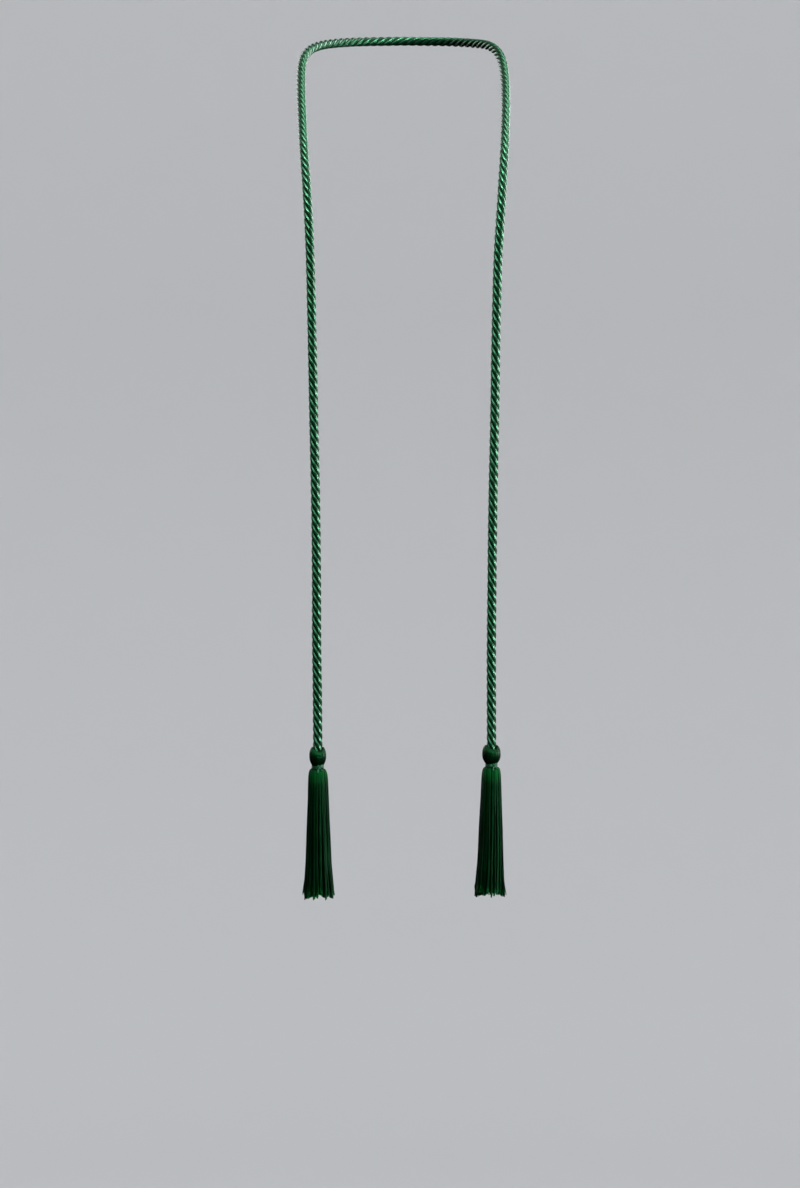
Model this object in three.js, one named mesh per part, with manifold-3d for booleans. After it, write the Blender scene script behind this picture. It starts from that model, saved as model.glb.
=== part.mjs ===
// An honor cord: a twisted cord that is worn round the neck, with a tassel on each end.
// Millimetres, +Z up. The wearer faces -Y, and the origin is where the cord rests on the nape.

import * as THREE from 'three';
import { mergeVertices } from 'three/addons/utils/BufferGeometryUtils.js';
import Module from 'manifold-3d';

const wasm = await Module();
wasm.setup();

// The cord
const CORD_DIAMETER = 7.5;
const CORD_SIDES = 12;
const CORD_STEPS = 80;

// The gap that is left between two pieces that touch
const SEAT_GAP = 0.3;

// The tassel's head, a ball of yarn with a socket in its top where the cord goes in. The rim
// of the socket dips at the front.
const LEFT_HEAD_DIAMETER = 13.2;
const RIGHT_HEAD_DIAMETER = 14.2;
const HEAD_HEIGHT = 14;
const HEAD_RIBS = 16;
const HEAD_RIB_DEPTH = 0.45;
const SOCKET_DEPTH = 5;
const RIM_DIP = 3.4;

// The thread that is wound round the neck under the head
const NECK_DIAMETER = 7.2;
const TIE_THREAD = 1;
const TIE_TURNS = 3;
const TIE_KNOT = 2.4;

// The skirt of yarn that hangs below the tie, parted into locks with a ragged hem. The sway is
// a share of the space from one lock to the next.
const SKIRT_LENGTH = 102;
const SKIRT_SHOULDER_DIAMETER = 15.8;
const SKIRT_HEM_DIAMETER = 22.4;
const SKIRT_HEM_RAGGED = 5;
const LOCKS = 16;
const LOCK_DEPTH = 1.9;
const LOCK_NOTCH = 7;
const LOCK_SWAY = 0.07;

// The hollow in the hem, behind the tips of the locks
const HEM_HOLLOW_DEPTH = 9;
const HEM_HOLLOW_WALL = 3.6;

// How far each tassel is turned, so that its knot stands a little to one side of the front
const LEFT_TURN_DEG = 14;
const RIGHT_TURN_DEG = 22;

const ROUND_SEGMENTS = 32;
const TURN_SEGMENTS = 4;

// The way that the cord takes: from the tassel at the viewer's left, up the chest, over the
// shoulder, round the nape and down the other side. Each row is x, y, z.
const CORD_ROUTE = [
  [-67.5, -181, -581.5],
  [-67.8, -181, -540],
  [-68.4, -182, -494],
  [-68.5, -183, -447],
  [-69.2, -184, -385],
  [-70.6, -184, -322],
  [-71.9, -183, -260],
  [-73.4, -180, -199],
  [-74.8, -177, -166],
  [-77, -168, -133.5],
  [-79.7, -151, -100.2],
  [-82, -118, -64.4],
  [-82.9, -91, -40.9],
  [-81.7, -74, -26.5],
  [-77.2, -59, -16.7],
  [-68.6, -43, -10.3],
  [-55, -25, -5.7],
  [-37, -9, -2.4],
  [-16.5, 1, -0.6],
  [0, 3.75, 0],
  [16.5, 1, -0.6],
  [37, -9, -2.4],
  [54.9, -25, -5.7],
  [67.6, -43, -9.9],
  [74.8, -59, -16.7],
  [78.8, -74, -26.5],
  [80.6, -91, -40.9],
  [80.8, -118, -64.4],
  [79.2, -151, -100.2],
  [77, -168, -133.5],
  [74.9, -177, -166],
  [72.9, -180, -199],
  [71.3, -183, -260],
  [70.3, -184, -322],
  [69, -184, -385],
  [68.3, -183, -447],
  [67.9, -182, -494],
  [67.9, -181, -540],
  [68, -181, -580],
];

// The head's outline from its bottom to its rim. height is a share of HEAD_HEIGHT, and out goes
// from the neck's radius at 0 to the head's at 1. rib and dip are shares of HEAD_RIB_DEPTH and
// RIM_DIP.
const HEAD_OUTLINE = [
  { height: 0, out: 0.15, rib: 0.4, dip: 0 },
  { height: 0.07, out: 0.52, rib: 1, dip: 0 },
  { height: 0.22, out: 0.84, rib: 1, dip: 0 },
  { height: 0.4, out: 1, rib: 1, dip: 0.1 },
  { height: 0.58, out: 1, rib: 1, dip: 0.3 },
  { height: 0.75, out: 0.92, rib: 1, dip: 0.6 },
  { height: 0.88, out: 0.7, rib: 1, dip: 0.85 },
  { height: 0.97, out: 0.36, rib: 0.8, dip: 1 },
];

// The rim round the socket. in goes from the socket's wall at 0 to the outline's last row at 1.
const HEAD_RIM = [
  { height: 1, in: 0.6, rib: 0.4, dip: 1 },
  { height: 0.98, in: 0.15, rib: 0, dip: 1 },
  { height: 0.93, in: 0, rib: 0, dip: 1 },
];

// The skirt's outline. down is a share of its length, and out goes from the shoulder's radius
// at 0 to the hem's at 1. Above the shoulder, under the tie, it narrows: there out is negative,
// and goes to the neck's radius at -1. parted is the share of LOCK_DEPTH between the locks.
const SKIRT_OUTLINE = [
  { down: 0, out: -0.7, parted: 0.1 },
  { down: 0.015, out: -0.26, parted: 0.3 },
  { down: 0.04, out: -0.08, parted: 0.5 },
  { down: 0.09, out: 0.06, parted: 0.6 },
  { down: 0.25, out: 0.28, parted: 0.7 },
  { down: 0.5, out: 0.56, parted: 0.8 },
  { down: 0.75, out: 0.8, parted: 0.9 },
  { down: 0.93, out: 0.96, parted: 1 },
  { down: 1, out: 0.98, parted: 1 },
];

// Half of the points across one lock: across is a share of the space from one lock to the next,
// and in is 1 in the parting and 0 on the crest
const LOCK_SECTION = [
  { across: 0, in: 1 },
  { across: 0.2, in: 0.25 },
  { across: 0.5, in: 0 },
  { across: 0.8, in: 0.25 },
];

// Materials
const cordMaterial = new THREE.MeshStandardMaterial({ color: 0x0c4a2a, roughness: 0.35, metalness: 0 });
const yarnMaterial = new THREE.MeshStandardMaterial({ color: 0x06341b, roughness: 0.42, metalness: 0 });
const threadMaterial = new THREE.MeshStandardMaterial({ color: 0x14653c, roughness: 0.35, metalness: 0 });

// Sizes worked out from those above, for a tassel whose Z is 0 at the cord's end face
const socketRadius = CORD_DIAMETER / 2 + SEAT_GAP;
const neckRadius = NECK_DIAMETER / 2;
const shoulderRadius = SKIRT_SHOULDER_DIAMETER / 2;
const hemRadius = SKIRT_HEM_DIAMETER / 2;
const socketFloor = -SEAT_GAP;
const headTop = socketFloor + SOCKET_DEPTH;
const headBottom = headTop - HEAD_HEIGHT;
const tieTop = headBottom - SEAT_GAP;
const tieBottom = tieTop - TIE_TURNS * TIE_THREAD;
const skirtTop = tieBottom - SEAT_GAP;

const mix = THREE.MathUtils.lerp;

// A lathe round Z, made of rows { r, z } that go up its outside. Where shape is given, it says
// where the point of a row goes in a column, as { r, z, angle }.
function turned(rows, columns, shape) {
  const geometry = new THREE.LatheGeometry(
    rows.map((row) => new THREE.Vector2(row.r, row.z)),
    columns,
  );
  if (shape) {
    const position = geometry.getAttribute('position');
    for (let i = 0; i < position.count; i++) {
      const { r, z, angle } = shape(rows[i % rows.length], Math.floor(i / rows.length) % columns);
      position.setXYZ(i, r * Math.sin(angle), z, r * Math.cos(angle));
    }
  }
  return geometry.rotateX(Math.PI / 2);
}

// A closed mesh with only positions, as manifold-3d takes it
function solidOf(geometry) {
  const bare = geometry.index ? geometry.toNonIndexed() : geometry.clone();
  bare.deleteAttribute('normal');
  bare.deleteAttribute('uv');
  const merged = mergeVertices(bare, 1e-3);
  return new wasm.Manifold(
    new wasm.Mesh({
      numProp: 3,
      vertProperties: new Float32Array(merged.getAttribute('position').array),
      triVerts: new Uint32Array(merged.index.array),
    }),
  );
}

function geometryOf(solid) {
  const mesh = solid.getMesh();
  const geometry = new THREE.BufferGeometry();
  geometry.setAttribute('position', new THREE.BufferAttribute(new Float32Array(mesh.vertProperties), 3));
  geometry.setIndex(new THREE.BufferAttribute(new Uint32Array(mesh.triVerts), 1));
  geometry.computeVertexNormals();
  return geometry;
}

function joined(geometries) {
  return geometryOf(geometries.map(solidOf).reduce((all, one) => all.add(one)));
}

const cordPath = new THREE.CatmullRomCurve3(
  CORD_ROUTE.map((point) => new THREE.Vector3(...point)),
  false,
  'catmullrom',
  0.5,
);

function cordGeometry() {
  const corners = Array.from({ length: CORD_SIDES }, (_, i) => {
    const angle = (2 * Math.PI * i) / CORD_SIDES;
    return new THREE.Vector2(Math.cos(angle), Math.sin(angle)).multiplyScalar(CORD_DIAMETER / 2);
  });
  return new THREE.ExtrudeGeometry(new THREE.Shape(corners), {
    steps: CORD_STEPS,
    extrudePath: cordPath,
    bevelEnabled: false,
  });
}

function headGeometry(diameter) {
  const place = (row, r) => ({ ...row, r, z: headBottom + row.height * HEAD_HEIGHT });
  const outside = HEAD_OUTLINE.map((row) => place(row, mix(neckRadius, diameter / 2, row.out)));
  const crest = Math.max(outside[outside.length - 1].r, socketRadius);
  const rim = HEAD_RIM.map((row) => place(row, mix(socketRadius, crest, row.in)));
  const floor = [
    { r: socketRadius, z: socketFloor, rib: 0, dip: 0 },
    { r: 0, z: socketFloor, rib: 0, dip: 0 },
  ];
  const rows = [{ r: 0, z: headBottom, rib: 0, dip: 0 }, ...outside, ...rim, ...floor];
  return turned(rows, 2 * HEAD_RIBS, (row, column) => {
    const angle = (Math.PI * column) / HEAD_RIBS;
    return {
      r: row.r - (column % 2) * row.rib * HEAD_RIB_DEPTH,
      z: row.z - row.dip * RIM_DIP * Math.max(0, Math.cos(angle)) ** 2,
      angle,
    };
  });
}

// The wound thread: a ring with one bulge for each turn, and the knot that ends it in front
function tieGeometry() {
  const inner = neckRadius + SEAT_GAP;
  const threadRadius = TIE_THREAD / 2;
  const rows = [{ r: inner, z: tieBottom }];
  for (let turn = 0; turn < TIE_TURNS; turn++) {
    for (let step = 0; step < TURN_SEGMENTS; step++) {
      const angle = (Math.PI * step) / TURN_SEGMENTS;
      rows.push({
        r: inner + threadRadius * (1 + Math.sin(angle)),
        z: tieBottom + TIE_THREAD * turn + threadRadius * (1 - Math.cos(angle)),
      });
    }
  }
  rows.push({ r: inner + threadRadius, z: tieTop }, { r: inner, z: tieTop }, { r: inner, z: tieBottom });
  const knot = new THREE.SphereGeometry(TIE_KNOT / 2, 12, 8);
  knot.translate(0, -(inner + TIE_THREAD), (tieTop + tieBottom) / 2);
  return joined([turned(rows, ROUND_SEGMENTS), knot]);
}

// The skirt's radius at a row of its outline
function skirtRadius(row) {
  return row.out < 0 ? mix(shoulderRadius, neckRadius, -row.out) : mix(shoulderRadius, hemRadius, row.out);
}

// A share from 0 to 1 that looks irregular from one lock to the next
function uneven(lock) {
  return 0.5 + 0.5 * Math.sin(2.4 * lock + Math.sin(1.3 * lock));
}

// The skirt is one body. Its outside is parted into locks, which hang free at the hem round a
// hollow, and the neck stands on its top.
function skirtGeometry() {
  const outside = SKIRT_OUTLINE.map((row) => ({ ...row, r: skirtRadius(row), z: 0 }));
  const hollow = { r: hemRadius - HEM_HOLLOW_WALL, z: skirtTop - SKIRT_LENGTH + HEM_HOLLOW_DEPTH };
  const neck = [
    { r: neckRadius, z: skirtTop },
    { r: neckRadius, z: tieTop },
    { r: 0, z: tieTop },
  ];
  const rows = [
    { r: 0, z: hollow.z },
    hollow,
    { r: hollow.r, down: 1, parted: 0 },
    ...outside.reverse(),
    ...neck,
  ];
  return turned(rows, LOCKS * LOCK_SECTION.length, (row, column) => {
    const lock = Math.floor(column / LOCK_SECTION.length);
    const point = LOCK_SECTION[column % LOCK_SECTION.length];
    const angle = (2 * Math.PI * (lock + point.across)) / LOCKS;
    if (row.down === undefined) return { r: row.r, z: row.z, angle };
    const length = SKIRT_LENGTH - SKIRT_HEM_RAGGED * uneven(lock) - LOCK_NOTCH * point.in;
    const sway = LOCK_SWAY * Math.sin(2.5 * row.down + 1.9 * lock) * row.down;
    return {
      r: row.r - row.parted * LOCK_DEPTH * point.in,
      z: skirtTop - row.down * length,
      angle: angle + (2 * Math.PI * sway) / LOCKS,
    };
  });
}

function named(name, geometry, material) {
  const mesh = new THREE.Mesh(geometry, material);
  mesh.name = name;
  return mesh;
}

// A tassel hangs straight down from an end of the cord
function tassel(side, end, headDiameter, turnDeg) {
  const group = new THREE.Group();
  group.add(named(`${side}_head`, headGeometry(headDiameter), yarnMaterial));
  group.add(named(`${side}_tie`, tieGeometry(), threadMaterial));
  group.add(named(`${side}_skirt`, skirtGeometry(), yarnMaterial));
  group.position.copy(end);
  group.rotation.z = THREE.MathUtils.degToRad(turnDeg);
  return group;
}

const honorCord = new THREE.Group();
honorCord.add(named('cord', cordGeometry(), cordMaterial));
honorCord.add(tassel('left', cordPath.getPoint(0), LEFT_HEAD_DIAMETER, LEFT_TURN_DEG));
honorCord.add(tassel('right', cordPath.getPoint(1), RIGHT_HEAD_DIAMETER, RIGHT_TURN_DEG));

export default honorCord;
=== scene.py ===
"""A dark green honor cord, worn round the neck, with a yarn tassel on each end.

Metres, +Z up. The wearer faces -Y, and the origin is where the cord rests on the nape. Left and
right are the viewer's.
"""

import math

import bpy
from bpy.props import FloatProperty, FloatVectorProperty, IntProperty, PointerProperty
from mathutils import Matrix, Vector
from mathutils.geometry import interpolate_bezier


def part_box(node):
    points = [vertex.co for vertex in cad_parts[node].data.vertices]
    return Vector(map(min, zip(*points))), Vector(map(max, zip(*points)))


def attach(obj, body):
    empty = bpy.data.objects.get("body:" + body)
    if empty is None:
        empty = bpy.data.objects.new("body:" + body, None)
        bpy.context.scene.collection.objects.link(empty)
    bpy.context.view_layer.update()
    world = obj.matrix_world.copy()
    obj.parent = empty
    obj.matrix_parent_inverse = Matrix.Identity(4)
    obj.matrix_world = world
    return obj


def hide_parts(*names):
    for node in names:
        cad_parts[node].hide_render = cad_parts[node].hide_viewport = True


bl_info = {
    "name": "Honor Cord",
    "version": (1, 0, 0),
    "blender": (4, 5, 0),
    "location": "View3D > Sidebar > Honor Cord",
    "description": "Makes a twisted honor cord with a yarn tassel on each end",
    "category": "Add Mesh",
}

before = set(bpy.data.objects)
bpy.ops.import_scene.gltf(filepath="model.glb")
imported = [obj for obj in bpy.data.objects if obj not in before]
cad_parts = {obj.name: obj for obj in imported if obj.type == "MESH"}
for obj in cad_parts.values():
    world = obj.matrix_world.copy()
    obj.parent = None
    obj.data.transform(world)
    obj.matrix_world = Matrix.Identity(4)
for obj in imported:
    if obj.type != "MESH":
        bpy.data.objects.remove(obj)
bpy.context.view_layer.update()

TAU = 2 * math.pi
GOLDEN_ANGLE = math.pi * (3 - math.sqrt(5))

# The way that the cord takes: from the left tassel up the chest, over the shoulder, round the
# nape and down the other side
CORD_ROUTE = [
    (-0.0675, -0.181, -0.5815),
    (-0.0678, -0.181, -0.54),
    (-0.0684, -0.182, -0.494),
    (-0.0685, -0.183, -0.447),
    (-0.0692, -0.184, -0.385),
    (-0.0706, -0.184, -0.322),
    (-0.0719, -0.183, -0.26),
    (-0.0734, -0.18, -0.199),
    (-0.0748, -0.177, -0.166),
    (-0.077, -0.168, -0.1335),
    (-0.0797, -0.151, -0.1002),
    (-0.082, -0.118, -0.0644),
    (-0.0829, -0.091, -0.0409),
    (-0.0817, -0.074, -0.0265),
    (-0.0772, -0.059, -0.0167),
    (-0.0686, -0.043, -0.0103),
    (-0.055, -0.025, -0.0057),
    (-0.037, -0.009, -0.0024),
    (-0.0165, 0.001, -0.0006),
    (0.0, 0.00375, 0.0),
    (0.0165, 0.001, -0.0006),
    (0.037, -0.009, -0.0024),
    (0.0549, -0.025, -0.0057),
    (0.0676, -0.043, -0.0099),
    (0.0748, -0.059, -0.0167),
    (0.0788, -0.074, -0.0265),
    (0.0806, -0.091, -0.0409),
    (0.0808, -0.118, -0.0644),
    (0.0792, -0.151, -0.1002),
    (0.077, -0.168, -0.1335),
    (0.0749, -0.177, -0.166),
    (0.0729, -0.18, -0.199),
    (0.0713, -0.183, -0.26),
    (0.0703, -0.184, -0.322),
    (0.069, -0.184, -0.385),
    (0.0683, -0.183, -0.447),
    (0.0679, -0.182, -0.494),
    (0.0679, -0.181, -0.54),
    (0.068, -0.181, -0.58),
]

# The tassels. turn is how far a tassel's front is turned from the viewer to the viewer's right,
# and lean is how far its hem hangs to the right.
TASSELS = {
    "left": {"end": CORD_ROUTE[0], "turn": math.radians(14), "lean": 0.0004, "seed": 3},
    "right": {"end": CORD_ROUTE[-1], "turn": math.radians(22), "lean": -0.0013, "seed": 8},
}

# The tassels' radii, and the gap between two of their pieces
SEAT_GAP = 0.0003
SOCKET_RADIUS = 0.00405
NECK_RADIUS = 0.0036
SHOULDER_RADIUS = 0.0079
HEM_RADIUS = 0.0112

# The head's outline from its bottom to its rim. height is a share of the head's, and out goes
# from the neck's radius at 0 to the head's at 1.
HEAD_OUTLINE = [
    {"height": -0.04, "out": -0.1},
    {"height": 0.0, "out": 0.15},
    {"height": 0.07, "out": 0.52},
    {"height": 0.22, "out": 0.84},
    {"height": 0.4, "out": 1.0},
    {"height": 0.58, "out": 1.0},
    {"height": 0.75, "out": 0.92},
    {"height": 0.88, "out": 0.72},
    {"height": 0.965, "out": 0.46},
    {"height": 1.0, "out": 0.22},
    {"height": 0.97, "out": 0.02},
    {"height": 0.85, "out": 0.0},
    {"height": 0.7, "out": 0.0},
]

# What the tying thread does besides its turns, as points of angle in degrees from the tassel's
# front, and of out from the turns and down from their middle in thread diameters. The thread
# crosses its turns, goes round itself in a knot and leaves two ends over the skirt.
TIE_BANDS = {
    "crossing": [
        (-34, -0.3, 1.9),
        (-24, 0.5, 1.5),
        (-8, 0.95, 0.4),
        (8, 0.95, -0.5),
        (24, 0.5, -1.5),
        (34, -0.3, -1.9),
    ],
    "knot": [
        (-12, 0.3, -1.2),
        (-9, 1.0, -0.8),
        (-3, 1.5, 0.1),
        (4, 1.4, 1.0),
        (9, 0.7, 1.5),
        (11, 0.1, 1.3),
    ],
    "left_end": [(-2, 0.8, 0.9), (-6, 1.5, 1.3), (-10, 2.2, 2.1), (-12, 2.8, 3.2), (-11, 3.1, 4.3)],
    "right_end": [(3, 0.8, 0.9), (8, 1.6, 1.4), (14, 2.2, 2.1), (19, 2.7, 3.0)],
}

# The skirt's outline. down is a share of its length, and out goes from the shoulder's radius at
# 0 to the hem's at 1, and to the neck's radius at -1.
SKIRT_OUTLINE = [
    {"down": -0.033, "out": -1.0},
    {"down": -0.01, "out": -1.0},
    {"down": 0.0, "out": -0.76},
    {"down": 0.007, "out": -0.46},
    {"down": 0.018, "out": -0.22},
    {"down": 0.04, "out": -0.06},
    {"down": 0.09, "out": 0.08},
    {"down": 0.25, "out": 0.28},
    {"down": 0.5, "out": 0.56},
    {"down": 0.75, "out": 0.8},
    {"down": 1.0, "out": 0.98},
]

# The rim's dip at the tassel's front. It begins at a share of the head's height and is full a
# little below the rim.
RIM_DIP = 0.0034
DIP_START = 0.3
DIP_BELOW_RIM = 0.001

# How far the middle of a head's yarn stays from the socket, in radii of the yarn
YARN_TO_SOCKET = 0.8

# The tying thread: its turns round the neck, the points in each, and how it is twisted
TIE_TURNS = 3
POINTS_IN_A_TURN = 24
THREAD_TWIST = {"Plies": 3, "Lay": 0.0036, "Fibre Lay": 0.0058, "Steps": 10, "Sides": 8}

# How many lays of the cord its fibres take to go once round
FIBRE_LAY_IN_LAYS = 1.6

# How many steps a smooth curve takes from one of its given points to the next
ROUTE_STEPS = 12
HEAD_STEPS = 6
THREAD_STEPS = 2
SKIRT_STEPS = 2

# The yarns of a head. Each is off its even place by up to half of uneven, in spaces between
# yarns, and off the head's outline by up to half of proud, in diameters. It is as thick as
# thinnest and up to thicker more, in diameters.
HEAD_YARN = {"uneven": 0.35, "proud": 0.3, "thinnest": 0.85, "thicker": 0.3}
HEAD_YARN_POINTS = 40
HEAD_YARN_SIDES = 6
HEAD_FIBRE_LAY = 0.006

# The strands of a skirt. A lock gathers by least_gathered and up to more_gathered more, and is
# set back by up to a share of the radius. Strands that draw more than stray_from, out of 1, flick
# out at the hem, and whole locks spread there. A strand is short by its own draw, by how far
# inside the skirt it hangs and by its lock's draw. Strands sway less than their locks. They are
# as thick as thinnest and up to thicker more, in diameters.
STRAND = {
    "least_gathered": 0.6,
    "more_gathered": 0.8,
    "set_back": 0.08,
    "stray_from": 0.94,
    "spread": 0.6,
    "short": 0.7,
    "short_inside": 0.35,
    "short_lock": 0.6,
    "sway_in_lock": 0.8,
    "sway_at_neck": 0.15,
    "thinnest": 0.75,
    "thicker": 0.5,
}
STRAND_SIDES = 5
STRAND_FIBRE_LAY = 0.009

# Where down a strand each of these starts and ends, and for some how much it is at both
STRAND_RISES = {
    "gathered": (0.0, 0.5, 0.3, 1.0),
    "set_back": (0.02, 0.12),
    "flick": (0.82, 1.05),
    "spread": (0.8, 1.1),
    "sway": (0.03, 0.2),
    "thickness": (0.0, 0.12, 0.5, 1.0),
}

# What is added to the seed for each draw of a strand or of a lock
STRAND_DRAWS = {"stray": 0.0, "flick": 1.0, "short": 2.0, "tint": 3.0, "thickness": 4.0}
LOCK_DRAWS = {"gathered": 5.0, "set_back": 6.0, "tint": 7.0, "spread": 8.0, "short": 9.0}

# How fast the sway changes from lock to lock or strand to strand, down it, and with the seed
LOCK_SWAY = (3.7, 1.6, 1.3)
STRAND_SWAY = (2.3, 4.0, 1.7)

# How each yarn looks. fibres is how fine its streaks are, and relief is their depth. changes tell
# where along it, from 0 to 1, its base colour gets lighter or darker, each as where that starts and
# ends, and how light the yarn is at both. They paint light: painted highlights on the head's top
# and the skirt's shoulder, and at the hem tips both lighter frayed ends and a painted highlight.
RAYON = {
    "cord": {"shine": 0.56, "roughness": 0.21, "fibres": 8.0, "relief": 0.00007, "changes": []},
    "thread": {"shine": 0.6, "roughness": 0.24, "fibres": 3.0, "relief": 0.00003, "changes": []},
    "head": {
        "shine": 0.07,
        "roughness": 0.24,
        "fibres": 4.0,
        "relief": 0.00004,
        # Painted highlight: the head's yarns get lighter towards the rim
        "changes": [(0.45, 0.74, 0.5, 4.0)],
    },
    "skirt": {
        "shine": 0.055,
        "roughness": 0.26,
        "fibres": 4.0,
        "relief": 0.00004,
        # Painted highlight on the skirt's shoulder under the tie; at the hem the tips are lighter
        # frayed ends and also a painted highlight
        "changes": [(0.03, 0.2, 10.0, 1.0), (0.965, 1.0, 1.0, 10.0)],
    },
}

# How many times the rayon's streaks and patches change in a metre
STREAKS_IN_A_METRE = 220.0
PATCHES_IN_A_METRE = 35.0

# The rayon's lightness: what is plain, what its streaks and patches add, and how it differs with
# the yarn's tint
PLAIN_SHADE = 0.1
STREAK_SHADE = 1.5
PATCH_SHADE = 0.3
DARKEST_TINT = 0.6
TINT_RANGE = 0.8

# A yarn's side gets painted shade in its base colour, and gets rough, where it doesn't face outward,
# between it and the next yarn
CREST_START = 0.5
PAINTED_CREVICE_SHADE = 0.03
ROUGH_UNDER = 0.05
CREVICE_ROUGHNESS = 0.3
STREAK_ROUGHNESS = 0.1

# The camera stands level, straight before the chest
CHEST_Y = -0.18
CAMERA_DISTANCE = 3.0
CAMERA_X = -0.00335
CAMERA_Z = -0.4577
FRAME_HEIGHT = 0.927
SENSOR_SIZE = 36.0

# A round studio: a pale floor that curves up into a wall all round
FLOOR_Z = -1.45
STUDIO_RADIUS = 5.2
COVE_RADIUS = 1.6
WALL_TOP = 3.4
COVE_STEPS = 12
STUDIO_COLUMNS = 96
STUDIO_COLOUR = (0.78, 0.78, 0.78, 1.0)
STUDIO_ROUGHNESS = 0.9
STUDIO_SHINE = 0.1

# The lamps on the cord, each as wide and as high as its size says
LIGHTS = {
    "key_light": {"place": (0.43, -2.25, 2.6), "size": (2.9, 0.72), "power": 150, "spread": 100},
    "side_light": {"place": (1.75, -1.25, -0.6), "size": (0.35, 0.6), "power": 16, "spread": 80},
    "top_light": {"place": (0.27, -0.67, 3.79), "size": (3.4, 2.2), "power": 110, "spread": 120},
    "back_light": {"place": (2.3, 1.5, 0.5), "size": (1.8, 1.8), "power": 70, "spread": 120},
    "rear_light": {"place": (-2.2, 2.1, 0.9), "size": (3.0, 2.6), "power": 40, "spread": 120},
}

# The sky, which lights the studio and fills the cord's shadows
WORLD_COLOUR = (0.8, 0.82, 0.85, 1.0)
WORLD_STRENGTH = 1.1


class HonorCordSettings(bpy.types.PropertyGroup):
    """Sizes and colours of the honor cord"""

    cord_diameter: FloatProperty(
        name="Cord diameter",
        description="Thickness of the whole twisted cord",
        default=0.0075,
        min=0.002,
        subtype="DISTANCE",
    )
    plies: IntProperty(
        name="Plies",
        description="How many plies are twisted into the cord",
        default=4,
        min=2,
        max=6,
    )
    lay: FloatProperty(
        name="Lay",
        description="Length of cord in which a ply goes once round",
        default=0.0264,
        min=0.005,
        subtype="DISTANCE",
    )
    head_yarns: IntProperty(
        name="Head yarns",
        description="How many yarns cover a tassel's head",
        default=100,
        min=12,
    )
    yarn_diameter: FloatProperty(
        name="Yarn diameter",
        description="Thickness of a yarn of the head and the skirt",
        default=0.00068,
        min=0.0003,
        subtype="DISTANCE",
    )
    thread_diameter: FloatProperty(
        name="Thread diameter",
        description="Thickness of the thread that ties the tassel's neck",
        default=0.001,
        min=0.0003,
        subtype="DISTANCE",
    )
    strands: IntProperty(
        name="Strands",
        description="How many strands hang in a skirt",
        default=780,
        min=30,
    )
    locks: IntProperty(
        name="Locks",
        description="How many locks the strands gather in",
        default=22,
        min=3,
    )
    cord_colour: FloatVectorProperty(
        name="Cord colour",
        description="Colour of the cord's rayon",
        default=(0.0003, 0.0075, 0.0024),
        size=3,
        subtype="COLOR",
    )
    yarn_colour: FloatVectorProperty(
        name="Yarn colour",
        description="Colour of the tassels' yarn",
        default=(0.0001, 0.0058, 0.001),
        size=3,
        subtype="COLOR",
    )
    thread_colour: FloatVectorProperty(
        name="Thread colour",
        description="Colour of the thread that ties the tassel's neck",
        default=(0.0009, 0.024, 0.0085),
        size=3,
        subtype="COLOR",
    )
    cord_gloss: FloatVectorProperty(
        name="Cord gloss",
        description="Colour of the shine on the cord and the thread",
        default=(0.24, 1.0, 0.5),
        size=3,
        subtype="COLOR",
    )
    yarn_gloss: FloatVectorProperty(
        name="Yarn gloss",
        description="Colour of the shine on the tassels' yarn",
        default=(0.12, 1.0, 0.38),
        size=3,
        subtype="COLOR",
    )


class Field:
    """A value in a node tree, which can stand in a formula."""

    def __init__(self, recipe, socket):
        self.recipe = recipe
        self.socket = socket

    def is_vector(self):
        return self.socket.type in ("VECTOR", "RGBA")

    def __add__(self, other):
        return self.recipe.maths("ADD", self, other)

    def __radd__(self, other):
        return self.recipe.maths("ADD", other, self)

    def __sub__(self, other):
        return self.recipe.maths("SUBTRACT", self, other)

    def __rsub__(self, other):
        return self.recipe.maths("SUBTRACT", other, self)

    def __mul__(self, other):
        return self.recipe.maths("MULTIPLY", self, other)

    def __rmul__(self, other):
        return self.recipe.maths("MULTIPLY", other, self)

    def __truediv__(self, other):
        return self.recipe.maths("DIVIDE", self, other)

    def __rtruediv__(self, other):
        return self.recipe.maths("DIVIDE", other, self)

    def __pow__(self, other):
        return self.recipe.maths("POWER", self, other)


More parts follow.
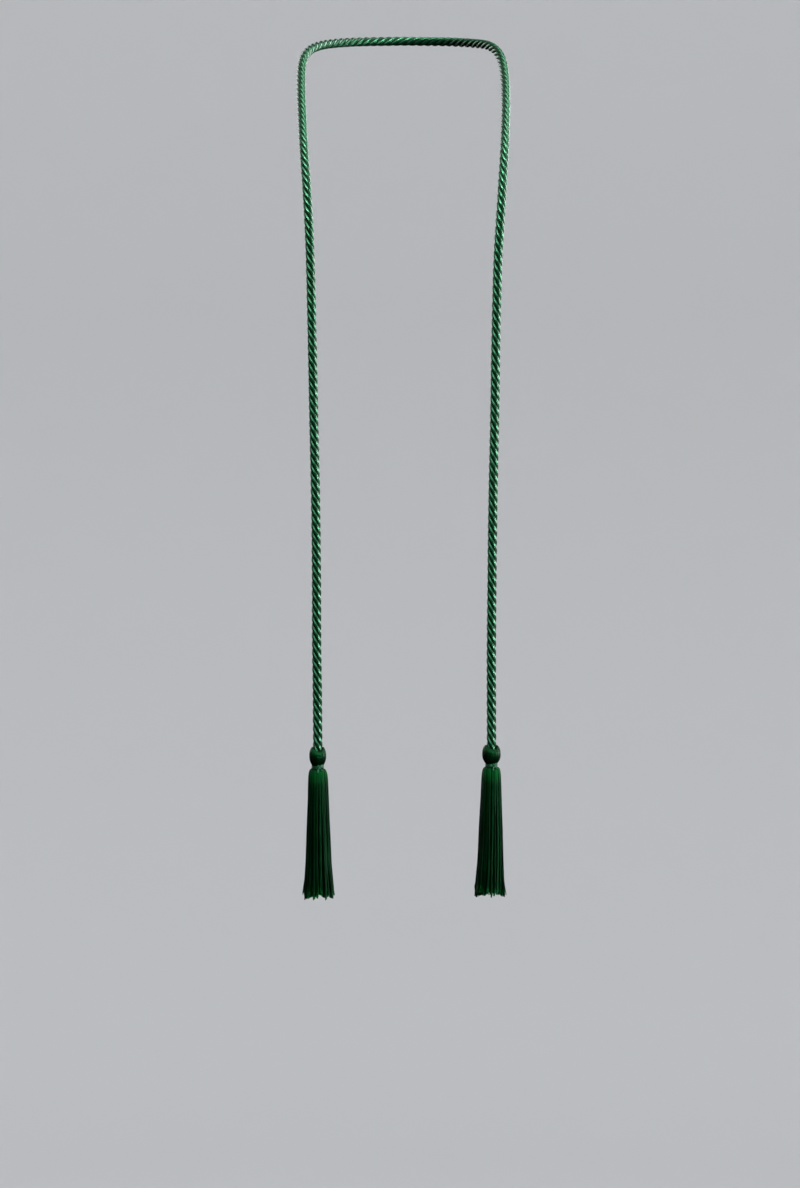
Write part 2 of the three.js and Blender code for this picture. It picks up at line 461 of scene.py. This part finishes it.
class Recipe:
    """A node tree in the making, of geometry or of a material."""

    def __init__(self, tree):
        self.tree = tree

    def node(self, kind, sockets=None, **settings):
        """Adds a node. sockets gives its inputs, by name or number, as values or fields."""
        node = self.tree.nodes.new(kind)
        for name, value in settings.items():
            setattr(node, name, value)
        for name, value in (sockets or {}).items():
            self.feed(node.inputs[name], value)
        return node

    def feed(self, socket, value):
        if isinstance(value, Field):
            self.tree.links.new(value.socket, socket)
        else:
            socket.default_value = value

    def field(self, kind, output=0, sockets=None, **settings):
        """Adds a node and returns one of its outputs."""
        return Field(self, self.node(kind, sockets, **settings).outputs[output])

    def maths(self, operation, *values):
        """A sum of numbers, or of vectors where any value is one."""
        vectors = [v.is_vector() if isinstance(v, Field) else isinstance(v, tuple) for v in values]
        if not any(vectors):
            sockets = dict(enumerate(values))
            return self.field("ShaderNodeMath", 0, sockets, operation=operation)
        if operation == "MULTIPLY" and not all(vectors):
            vector, number = values if vectors[0] else reversed(values)
            sockets = {0: vector, 3: number}
            return self.field("ShaderNodeVectorMath", 0, sockets, operation="SCALE")
        sockets = dict(enumerate(values))
        output = "Value" if operation == "DOT_PRODUCT" else "Vector"
        return self.field("ShaderNodeVectorMath", output, sockets, operation=operation)

    def sine(self, value):
        return self.maths("SINE", value)

    def cosine(self, value):
        return self.maths("COSINE", value)

    def vector(self, x, y, z):
        return self.field("ShaderNodeCombineXYZ", 0, {"X": x, "Y": y, "Z": z})

    def axes_of(self, vector):
        """A vector's three numbers."""
        node = self.node("ShaderNodeSeparateXYZ", {0: vector})
        return [Field(self, output) for output in node.outputs]

    def rising(self, value, start, end, low=0.0, high=1.0):
        """Goes smoothly from low at start to high at end, and stays level outside them."""
        sockets = {"Value": value, "From Min": start, "From Max": end, "To Min": low, "To Max": high}
        return self.field("ShaderNodeMapRange", 0, sockets, interpolation_type="SMOOTHSTEP")


class ShapeRecipe(Recipe):
    """A Geometry Nodes tree that turns curves into tubes of yarn."""

    def __init__(self, name, inputs):
        super().__init__(bpy.data.node_groups.new(name, "GeometryNodeTree"))
        self.tree.is_modifier = True
        sockets = self.tree.interface
        sockets.new_socket("Geometry", in_out="INPUT", socket_type="NodeSocketGeometry")
        for label, (kind, default) in inputs.items():
            socket = sockets.new_socket(label, in_out="INPUT", socket_type=f"NodeSocket{kind}")
            if default is not None:
                socket.default_value = default
        sockets.new_socket("Material", in_out="INPUT", socket_type="NodeSocketMaterial")
        sockets.new_socket("Geometry", in_out="OUTPUT", socket_type="NodeSocketGeometry")
        self.start = self.tree.nodes.new("NodeGroupInput")

    def given(self, name):
        return Field(self, self.start.outputs[name])

    def stored(self, geometry, name, value, kind="FLOAT"):
        """The geometry with a named value on each of its points."""
        sockets = {"Geometry": geometry, "Name": name, "Value": value}
        return self.field("GeometryNodeStoreNamedAttribute", 0, sockets, data_type=kind)

    def named(self, name, kind="FLOAT"):
        return self.field("GeometryNodeInputNamedAttribute", 0, {"Name": name}, data_type=kind)

    def along(self, output):
        """How far a point is down its spline, as a Factor or a Length."""
        return self.field("GeometryNodeSplineParameter", output)

    def copies(self, curves, amount):
        """Lays copies of each curve on each other, and numbers them."""
        sockets = {"Geometry": curves, "Amount": amount}
        node = self.node("GeometryNodeDuplicateElements", sockets, domain="SPLINE")
        return Field(self, node.outputs["Geometry"]), Field(self, node.outputs["Duplicate Index"])

    def chance(self, number, seed):
        """A random share from 0 to 1 for each number."""
        sockets = {"Min": 0.0, "Max": 1.0, "ID": number, "Seed": seed}
        node = self.node("FunctionNodeRandomValue", None, data_type="FLOAT")
        for socket in node.inputs:
            if socket.enabled and socket.name in sockets:
                self.feed(socket, sockets[socket.name])
        return Field(self, next(output for output in node.outputs if output.enabled))

    def noise(self, place, scale):
        """A smooth random vector, each number of it from about -1 to 1."""
        sockets = {"Vector": place, "Scale": scale, "Detail": 0.0}
        colour = self.field("ShaderNodeTexNoise", "Color", sockets, noise_dimensions="3D")
        return (colour - (0.5, 0.5, 0.5)) * 2.0

    def moved(self, geometry, position):
        sockets = {"Geometry": geometry, "Position": position}
        return self.field("GeometryNodeSetPosition", 0, sockets)

    def finish(self, curves, outward, radius, sides, fibre_lay, tint):
        """Makes the curves tubes, and stores what the materials read on them.

        fibre runs with the fibres round and along a yarn, crest is 1 on the side of a yarn that
        faces outward and -1 on the side that faces inward, down goes from 0 to 1 along the yarn,
        and tint differs from yarn to yarn.
        """
        curves = self.stored(curves, "along", self.along("Length"))
        curves = self.stored(curves, "down", self.along("Factor"))
        curves = self.stored(curves, "tint", tint)
        curves = self.stored(curves, "thick", radius)
        curves = self.stored(curves, "outward", outward, "FLOAT_VECTOR")
        place = self.field("GeometryNodeInputPosition")
        curves = self.stored(curves, "middle", place, "FLOAT_VECTOR")
        circle = self.field(
            "GeometryNodeCurvePrimitiveCircle", 0, {"Resolution": sides, "Radius": 1.0}
        )
        index = self.field("GeometryNodeInputIndex")
        circle = self.stored(circle, "around", index / sides)
        thick = self.named("thick")
        sockets = {"Curve": curves, "Profile Curve": circle, "Scale": thick, "Fill Caps": True}
        tubes = self.field("GeometryNodeCurveToMesh", 0, sockets)
        turn = TAU * (self.named("around") + self.named("along") / fibre_lay)
        fibre = self.vector(self.cosine(turn), self.sine(turn), self.named("along"))
        tubes = self.stored(tubes, "fibre", fibre, "FLOAT_VECTOR")
        side = place - self.named("middle", "FLOAT_VECTOR")
        crest = self.maths("DOT_PRODUCT", side, self.named("outward", "FLOAT_VECTOR")) / thick
        tubes = self.stored(tubes, "crest", crest)
        for name in ("around", "along", "thick", "outward", "middle"):
            sockets = {"Geometry": tubes, "Name": name}
            tubes = self.field("GeometryNodeRemoveAttribute", 0, sockets)
        tubes = self.field("GeometryNodeRealizeInstances", 0, {"Geometry": tubes})
        sockets = {"Geometry": tubes, "Material": self.given("Material")}
        tubes = self.field("GeometryNodeSetMaterial", 0, sockets)
        end = self.tree.nodes.new("NodeGroupOutput")
        self.feed(end.inputs["Geometry"], tubes)
        return self.tree


def twist_tree():
    """Winds plies round a curve, left-handed, so that each touches the next."""
    recipe = ShapeRecipe(
        "Twisted Cord",
        {
            "Diameter": ("Float", 0.0075),
            "Plies": ("Int", 4),
            "Lay": ("Float", 0.0264),
            "Fibre Lay": ("Float", 0.0422),
            "Steps": ("Int", 20),
            "Sides": ("Int", 12),
            "Seed": ("Int", 0),
        },
    )
    given = recipe.given
    step = given("Lay") / given("Steps")
    sockets = {"Curve": given("Geometry"), "Length": step}
    curve = recipe.field("GeometryNodeResampleCurve", 0, sockets, mode="LENGTH")
    plies, number = recipe.copies(curve, given("Plies"))
    spread = recipe.sine(math.pi / given("Plies"))
    winding_radius = given("Diameter") / 2.0 / (spread + 1.0)
    ply_radius = winding_radius * spread
    turn = TAU * (number / given("Plies") - recipe.along("Length") / given("Lay"))
    out = recipe.field("GeometryNodeInputNormal")
    ahead = recipe.field("GeometryNodeInputTangent")
    across = recipe.maths("CROSS_PRODUCT", ahead, out)
    offset = out * recipe.cosine(turn) + across * recipe.sine(turn)
    place = recipe.field("GeometryNodeInputPosition")
    plies = recipe.stored(plies, "offset", offset, "FLOAT_VECTOR")
    offset = recipe.named("offset", "FLOAT_VECTOR")
    plies = recipe.moved(plies, place + offset * winding_radius)
    tint = recipe.chance(number, given("Seed"))
    return recipe.finish(plies, offset, ply_radius, given("Sides"), given("Fibre Lay"), tint)


def head_tree():
    """Sets yarns side by side round a tassel's head. The curve is the way of one yarn."""
    recipe = ShapeRecipe(
        "Yarn Head",
        {
            "Yarns": ("Int", 100),
            "Yarn Diameter": ("Float", 0.00068),
            "Dip": ("Float", RIM_DIP),
            "Dip From": ("Float", 0.0),
            "Dip To": ("Float", 0.005),
            "Seed": ("Int", 0),
        },
    )
    given = recipe.given
    sockets = {"Curve": given("Geometry"), "Count": HEAD_YARN_POINTS}
    curve = recipe.field("GeometryNodeResampleCurve", 0, sockets, mode="COUNT")
    yarns, number = recipe.copies(curve, given("Yarns"))
    uneven = recipe.chance(number, given("Seed")) - 0.5
    proud = recipe.chance(number, given("Seed") + 1.0) - 0.5
    angle = TAU * (number + uneven * HEAD_YARN["uneven"]) / given("Yarns")
    radius, _, height = recipe.axes_of(recipe.field("GeometryNodeInputPosition"))
    radius = radius + proud * given("Yarn Diameter") * HEAD_YARN["proud"]
    facing = recipe.maths("MAXIMUM", recipe.cosine(angle), 0.0)
    dip = given("Dip") * recipe.rising(height, given("Dip From"), given("Dip To")) * facing**2.0
    outward = recipe.vector(recipe.sine(angle), -1.0 * recipe.cosine(angle), 0.0)
    yarns = recipe.moved(yarns, outward * radius + recipe.vector(0.0, 0.0, height - dip))
    tint = recipe.chance(number, given("Seed") + 2.0)
    thicker = recipe.chance(number, given("Seed") + 3.0) * HEAD_YARN["thicker"]
    thick = given("Yarn Diameter") / 2.0 * (HEAD_YARN["thinnest"] + thicker)
    return recipe.finish(yarns, outward, thick, HEAD_YARN_SIDES, HEAD_FIBRE_LAY, tint)


def fringe_tree():
    """Hangs strands inside a skirt. The curve is the skirt's outline from the neck to the hem."""
    recipe = ShapeRecipe(
        "Tassel Fringe",
        {
            "Strands": ("Int", 780),
            "Strand Diameter": ("Float", 0.00068),
            "Locks": ("Int", 22),
            "Parting": ("Float", 0.62),
            "Length": ("Float", 0.1),
            "Ragged": ("Float", 0.007),
            "Sway": ("Float", 0.0011),
            "Stray": ("Float", 0.0065),
            "Lean": ("Vector", (0.0, 0.0, 0.0)),
            "Seed": ("Int", 0),
        },
    )
    given = recipe.given
    strands, number = recipe.copies(given("Geometry"), given("Strands"))
    seed = given("Seed")
    down = recipe.along("Factor")
    share = recipe.maths("SQRT", (number + 0.5) / given("Strands"))
    angle = number * GOLDEN_ANGLE
    space = TAU / given("Locks")
    lock = recipe.maths("ROUND", angle / space)
    which_lock = recipe.maths("FLOORED_MODULO", lock, given("Locks"))

    def rise(what):
        return recipe.rising(down, *STRAND_RISES[what])

    def by_strand(what):
        return recipe.chance(number, seed + STRAND_DRAWS[what])

    def by_lock(what):
        return recipe.chance(which_lock, seed + LOCK_DRAWS[what])

    gathered = given("Parting") * rise("gathered")
    gathered = gathered * (STRAND["least_gathered"] + by_lock("gathered") * STRAND["more_gathered"])
    angle = angle + (lock * space - angle) * gathered
    radius, _, height = recipe.axes_of(recipe.field("GeometryNodeInputPosition"))
    proud = 1.0 - by_lock("set_back") * STRAND["set_back"] * rise("set_back")
    radius = radius * proud - given("Strand Diameter") / 2.0
    stray = recipe.maths("GREATER_THAN", by_strand("stray"), STRAND["stray_from"]) * share**2.0
    flick = stray * rise("flick") * by_strand("flick")
    spread = by_lock("spread") ** 2.0 * rise("spread") * share
    radius = radius * share + given("Stray") * (flick + spread * STRAND["spread"])
    inside = 1.0 - share**2.0
    short = by_strand("short") ** 2.0 * STRAND["short"] + inside * STRAND["short_inside"]
    short = short + by_lock("short") * STRAND["short_lock"]
    height = height * (1.0 - short * given("Ragged") / given("Length"))
    outward = recipe.vector(recipe.sine(angle), -1.0 * recipe.cosine(angle), 0.0)
    place = outward * radius + recipe.vector(0.0, 0.0, height)
    lock_sway = recipe.noise(recipe.vector(which_lock, down, seed) * LOCK_SWAY, 1.0)
    strand_sway = recipe.noise(recipe.vector(number, down, seed) * STRAND_SWAY, 1.0)
    sway = (lock_sway + strand_sway * STRAND["sway_in_lock"]) * (1.0, 1.0, 0.0)
    sway = sway * (given("Sway") * (STRAND["sway_at_neck"] + down) * rise("sway"))
    strands = recipe.moved(strands, place + sway + given("Lean") * down**2.0)
    tint = by_strand("tint") * 0.5 + by_lock("tint") * 0.5
    thicker = by_strand("thickness") * STRAND["thicker"]
    thick = given("Strand Diameter") / 2.0 * rise("thickness") * (STRAND["thinnest"] + thicker)
    return recipe.finish(strands, outward, thick, STRAND_SIDES, STRAND_FIBRE_LAY, tint)


def smooth_curve(name, routes, resolution):
    """A curve object that goes smoothly along routes of points."""
    data = bpy.data.curves.new(name, "CURVE")
    data.dimensions = "3D"
    data.resolution_u = resolution
    for route in routes:
        points = [Vector(point) for point in route]
        points = [2 * points[0] - points[1], *points, 2 * points[-1] - points[-2]]
        spline = data.splines.new("BEZIER")
        spline.bezier_points.add(len(route) - 1)
        for knot, before, point, after in zip(spline.bezier_points, points, points[1:], points[2:]):
            slope = (after - before) / 6
            knot.handle_left_type = knot.handle_right_type = "FREE"
            knot.co = point
            knot.handle_left = point - slope
            knot.handle_right = point + slope
    curve = bpy.data.objects.new(name, data)
    bpy.context.scene.collection.objects.link(curve)
    return curve


def centreline(curve):
    """The points that a smooth curve goes through, as Blender draws it."""
    knots = curve.data.splines[0].bezier_points
    steps = curve.data.resolution_u + 1
    points = [knots[0].co.copy()]
    for a, b in zip(knots, knots[1:]):
        points += interpolate_bezier(a.co, a.handle_right, b.handle_left, b.co, steps)[1:]
    return points


def made_by(tree, curve, name, material, values, place=None):
    """What a tree makes of a curve, as a plain mesh object. The curve is used up."""
    modifier = curve.modifiers.new(tree.name, "NODES")
    modifier.node_group = tree
    values = {**values, "Material": material}
    for item in tree.interface.items_tree:
        if item.in_out == "INPUT" and item.name in values:
            modifier[item.identifier] = values[item.name]
    graph = bpy.context.evaluated_depsgraph_get()
    mesh = bpy.data.meshes.new_from_object(curve.evaluated_get(graph), depsgraph=graph)
    mesh.name = name
    if place:
        mesh.transform(place)
    curve.modifiers.clear()
    bpy.data.objects.remove(curve)
    piece = bpy.data.objects.new(name, mesh)
    bpy.context.scene.collection.objects.link(piece)
    return piece


def fit(piece, node):
    """Lets a piece stand for a node of the frame."""
    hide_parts(node)
    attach(piece, "root")


def rayon(kind, colour, gloss):
    """Glossy rayon whose fibres run along each yarn, with painted shade between yarns and painted
    highlights where its changes say.
    """
    look = RAYON[kind]
    material = bpy.data.materials.new(f"{kind}_rayon")
    material.use_nodes = True
    recipe = Recipe(material.node_tree)
    shader = material.node_tree.nodes["Principled BSDF"]

    def stored(name, output="Fac"):
        return recipe.field("ShaderNodeAttribute", output, attribute_name=name)

    def noise(place, scale, detail):
        sockets = {"Vector": place, "Scale": scale, "Detail": detail}
        return recipe.field("ShaderNodeTexNoise", 0, sockets)

    fineness = (look["fibres"], look["fibres"], STREAKS_IN_A_METRE)
    streaks = noise(stored("fibre", "Vector") * fineness, 1.0, 2.0)
    patches = noise(recipe.field("ShaderNodeTexCoord", "Object"), PATCHES_IN_A_METRE, 1.0)
    # Painted shade: the base colour darkens on the sides of a yarn that face inward, between yarns
    painted_shade_between_yarns = recipe.rising(stored("crest"), CREST_START, 1.0, PAINTED_CREVICE_SHADE, 1.0)
    shade = PLAIN_SHADE + streaks * STREAK_SHADE + patches * PATCH_SHADE
    shade = shade * (DARKEST_TINT + stored("tint") * TINT_RANGE)
    # Painted highlights: each of the look's changes lightens the base colour along the yarn
    for change in look["changes"]:
        shade = shade * recipe.rising(stored("down"), *change)
    recipe.feed(shader.inputs["Base Color"], tuple(colour) * (shade * painted_shade_between_yarns))
    dull = recipe.rising(painted_shade_between_yarns, ROUGH_UNDER, 1.0, CREVICE_ROUGHNESS, 0.0)
    roughness = look["roughness"] + dull + streaks * STREAK_ROUGHNESS
    recipe.feed(shader.inputs["Roughness"], roughness)
    sockets = {"Height": streaks, "Strength": 1.0, "Distance": look["relief"]}
    recipe.feed(shader.inputs["Normal"], recipe.field("ShaderNodeBump", 0, sockets))
    shader.inputs["Specular IOR Level"].default_value = look["shine"]
    shader.inputs["Specular Tint"].default_value = (*gloss, 1.0)
    return material


def pale_paint():
    """The studio's plain pale paint."""
    material = bpy.data.materials.new("pale_paint")
    material.use_nodes = True
    shader = material.node_tree.nodes["Principled BSDF"]
    shader.inputs["Base Color"].default_value = STUDIO_COLOUR
    shader.inputs["Roughness"].default_value = STUDIO_ROUGHNESS
    shader.inputs["Specular IOR Level"].default_value = STUDIO_SHINE
    return material


class HONORCORD_OT_cord(bpy.types.Operator):
    """Twist the cord along its route"""

    bl_idname = "honor_cord.cord"
    bl_label = "Twisted cord"

    def execute(self, context):
        sizes = context.scene.honor_cord
        route = smooth_curve("cord_route", [CORD_ROUTE], ROUTE_STEPS)
        line = centreline(route)
        material = rayon("cord", sizes.cord_colour, sizes.cord_gloss)
        values = {
            "Diameter": sizes.cord_diameter,
            "Plies": sizes.plies,
            "Lay": sizes.lay,
            "Fibre Lay": sizes.lay * FIBRE_LAY_IN_LAYS,
        }
        cord = made_by(twist_tree(), route, "twisted_cord", material, values)
        fit(cord, "cord")
        length = sum((b - a).length for a, b in zip(line, line[1:]))
        [tuple(point) for point in line]
        return {"FINISHED"}


def place_of(tassel):
    """Where a tassel's own frame stands: its origin at the cord's end, its front turned."""
    return Matrix.Translation(tassel["end"]) @ Matrix.Rotation(tassel["turn"], 4, "Z")


def levels(side):
    """The heights of a tassel's pieces, in its own frame, and its head's radius."""
    end = TASSELS[side]["end"][2]
    head_low, head_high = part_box(f"{side}_head")
    tie_low, tie_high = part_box(f"{side}_tie")
    skirt_low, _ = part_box(f"{side}_skirt")
    return {
        "rim": head_high[2] - end,
        "head_bottom": head_low[2] - end,
        "tie_top": tie_high[2] - end,
        "tie_bottom": tie_low[2] - end,
        "skirt_top": tie_low[2] - SEAT_GAP - end,
        "hem": skirt_low[2] - end,
        "head_radius": (head_high[1] - head_low[1]) / 2,
    }


class HONORCORD_OT_heads(bpy.types.Operator):
    """Cover the tassels' heads with yarn"""

    bl_idname = "honor_cord.heads"
    bl_label = "Tassel heads"

    def execute(self, context):
        sizes = context.scene.honor_cord
        material = rayon("head", sizes.yarn_colour, sizes.yarn_gloss)
        tree = head_tree()
        for side, tassel in TASSELS.items():
            level = levels(side)
            yarn = sizes.yarn_diameter / 2
            height = level["rim"] - level["head_bottom"]
            swell = level["head_radius"] - NECK_RADIUS
            least = SOCKET_RADIUS + yarn * YARN_TO_SOCKET
            outline = []
            for row in HEAD_OUTLINE:
                radius = max(NECK_RADIUS + row["out"] * swell - yarn, least)
                outline.append((radius, 0, level["head_bottom"] + row["height"] * height - yarn))
            values = {
                "Yarns": sizes.head_yarns,
                "Yarn Diameter": sizes.yarn_diameter,
                "Dip": RIM_DIP,
                "Dip From": level["head_bottom"] + DIP_START * height,
                "Dip To": level["rim"] - DIP_BELOW_RIM,
                "Seed": tassel["seed"],
            }
            curve = smooth_curve(f"{side}_head_outline", [outline], HEAD_STEPS)
            head = made_by(tree, curve, f"{side}_yarn_head", material, values, place_of(tassel))
            fit(head, f"{side}_head")
        return {"FINISHED"}


def round_neck(degrees, radius, height):
    """A point round a tassel's axis. 0 degrees is the tassel's front."""
    angle = math.radians(degrees)
    return (radius * math.sin(angle), -radius * math.cos(angle), height)


class HONORCORD_OT_ties(bpy.types.Operator):
    """Wind the thread round the tassels' necks"""

    bl_idname = "honor_cord.ties"
    bl_label = "Wound ties"

    def execute(self, context):
        sizes = context.scene.honor_cord
        material = rayon("thread", sizes.thread_colour, sizes.cord_gloss)
        tree = twist_tree()
        for side, tassel in TASSELS.items():
            level = levels(side)
            thread = sizes.thread_diameter
            radius = NECK_RADIUS + SEAT_GAP + thread / 2
            top = level["tie_top"] - thread / 2
            bottom = level["tie_bottom"] + thread / 2
            steps = TIE_TURNS * POINTS_IN_A_TURN
            winding = []
            for i in range(steps + 1):
                height = top + (bottom - top) * (i / steps)
                winding.append(round_neck(360 * i / POINTS_IN_A_TURN, radius, height))
            middle = (top + bottom) / 2
            bands = [winding]
            for band in TIE_BANDS.values():
                route = [(a, radius + out * thread, middle - down * thread) for a, out, down in band]
                bands.append([round_neck(*point) for point in route])
            values = {"Diameter": thread, "Seed": tassel["seed"], **THREAD_TWIST}
            curve = smooth_curve(f"{side}_tie_thread", bands, THREAD_STEPS)
            tie = made_by(tree, curve, f"{side}_wound_tie", material, values, place_of(tassel))
            fit(tie, f"{side}_tie")
        return {"FINISHED"}


class HONORCORD_OT_skirts(bpy.types.Operator):
    """Hang the strands of the tassels' skirts"""

    bl_idname = "honor_cord.skirts"
    bl_label = "Tassel skirts"

    def execute(self, context):
        sizes = context.scene.honor_cord
        material = rayon("skirt", sizes.yarn_colour, sizes.yarn_gloss)
        tree = fringe_tree()
        for side, tassel in TASSELS.items():
            level = levels(side)
            length = level["skirt_top"] - level["hem"]
            outline = []
            for row in SKIRT_OUTLINE:
                far = NECK_RADIUS if row["out"] < 0 else HEM_RADIUS
                radius = SHOULDER_RADIUS + abs(row["out"]) * (far - SHOULDER_RADIUS)
                outline.append((radius, 0, level["skirt_top"] - row["down"] * length))
            lean = Matrix.Rotation(-tassel["turn"], 3, "Z") @ Vector((tassel["lean"], 0, 0))
            values = {
                "Strands": sizes.strands,
                "Strand Diameter": sizes.yarn_diameter,
                "Locks": sizes.locks,
                "Length": length,
                "Lean": lean,
                "Seed": tassel["seed"],
            }
            curve = smooth_curve(f"{side}_skirt_outline", [outline], SKIRT_STEPS)
            skirt = made_by(tree, curve, f"{side}_fringe", material, values, place_of(tassel))
            fit(skirt, f"{side}_skirt")
        return {"FINISHED"}


def studio_mesh():
    """A floor that curves up into a wall, turned round Z."""
    profile = [(0.0, FLOOR_Z)]
    for i in range(COVE_STEPS + 1):
        angle = math.pi / 2 * i / COVE_STEPS
        radius = STUDIO_RADIUS - COVE_RADIUS + COVE_RADIUS * math.sin(angle)
        profile.append((radius, FLOOR_Z + COVE_RADIUS * (1 - math.cos(angle))))
    profile.append((STUDIO_RADIUS, WALL_TOP))
    columns = STUDIO_COLUMNS
    points = [(0.0, 0.0, FLOOR_Z)]
    faces = []
    for ring, (radius, height) in enumerate(profile[1:]):
        for column in range(columns):
            angle = TAU * column / columns
            points.append((radius * math.cos(angle), radius * math.sin(angle), height))
            here = 1 + ring * columns + column
            beside = 1 + ring * columns + (column + 1) % columns
            if ring == 0:
                faces.append((0, here, beside))
            else:
                faces.append((here - columns, here, beside, beside - columns))
    mesh = bpy.data.meshes.new("studio")
    mesh.from_pydata(points, [], faces)
    for face in mesh.polygons:
        face.use_smooth = True
    return mesh


def soft_lamp(name, light):
    """A lamp that points at the middle of the cord."""
    data = bpy.data.lights.new(name, "AREA")
    data.shape = "RECTANGLE"
    data.size, data.size_y = light["size"]
    data.energy = light["power"]
    data.spread = math.radians(light["spread"])
    lamp = bpy.data.objects.new(name, data)
    lamp.location = light["place"]
    target = Vector((0, CHEST_Y, CAMERA_Z))
    lamp.rotation_euler = (target - lamp.location).to_track_quat("-Z", "Y").to_euler()
    lamp.visible_camera = False
    return lamp


class HONORCORD_OT_stage(bpy.types.Operator):
    """Set up the studio, the lights and the camera"""

    bl_idname = "honor_cord.stage"
    bl_label = "Stage"

    def execute(self, context):
        scene = context.scene
        mesh = studio_mesh()
        mesh.materials.append(pale_paint())
        studio = bpy.data.objects.new("studio", mesh)
        studio.visible_glossy = False
        scene.collection.objects.link(studio)
        unlit = bpy.data.collections.new("lit_by_the_sky_alone")
        unlit.objects.link(studio)
        unlit.collection_objects[0].light_linking.link_state = "EXCLUDE"
        for name, light in LIGHTS.items():
            lamp = soft_lamp(name, light)
            lamp.light_linking.receiver_collection = unlit
            scene.collection.objects.link(lamp)

        world = bpy.data.worlds.new("studio_air")
        world.use_nodes = True
        background = world.node_tree.nodes["Background"]
        background.inputs["Color"].default_value = WORLD_COLOUR
        background.inputs["Strength"].default_value = WORLD_STRENGTH
        scene.world = world
        world.cycles_visibility.glossy = False
        scene.view_settings.view_transform = "Standard"

        data = bpy.data.cameras.new("camera")
        data.sensor_width = SENSOR_SIZE
        data.lens = SENSOR_SIZE * CAMERA_DISTANCE / FRAME_HEIGHT
        camera = bpy.data.objects.new("camera", data)
        camera.location = (CAMERA_X, CHEST_Y - CAMERA_DISTANCE, CAMERA_Z)
        camera.rotation_euler = (math.pi / 2, 0, 0)
        scene.collection.objects.link(camera)
        scene.camera = camera
        return {"FINISHED"}


class HONORCORD_PT_panel(bpy.types.Panel):
    """Sizes, colours and the steps that make the cord"""

    bl_idname = "HONORCORD_PT_panel"
    bl_label = "Honor Cord"
    bl_space_type = "VIEW_3D"
    bl_region_type = "UI"
    bl_category = "Honor Cord"

    def draw(self, context):
        for name in HonorCordSettings.__annotations__:
            self.layout.prop(context.scene.honor_cord, name)
        for step in STEPS:
            self.layout.operator(step.bl_idname)


STEPS = (
    HONORCORD_OT_stage,
    HONORCORD_OT_cord,
    HONORCORD_OT_heads,
    HONORCORD_OT_ties,
    HONORCORD_OT_skirts,
)
CLASSES = (HonorCordSettings, *STEPS, HONORCORD_PT_panel)


def register():
    for kind in CLASSES:
        bpy.utils.register_class(kind)
    bpy.types.Scene.honor_cord = PointerProperty(type=HonorCordSettings)


def unregister():
    del bpy.types.Scene.honor_cord
    for kind in reversed(CLASSES):
        bpy.utils.unregister_class(kind)


def main():
    register()
    bpy.ops.honor_cord.stage()
    bpy.ops.honor_cord.cord()
    bpy.ops.honor_cord.heads()
    bpy.ops.honor_cord.ties()
    bpy.ops.honor_cord.skirts()


if __name__ == "__main__":
    main()
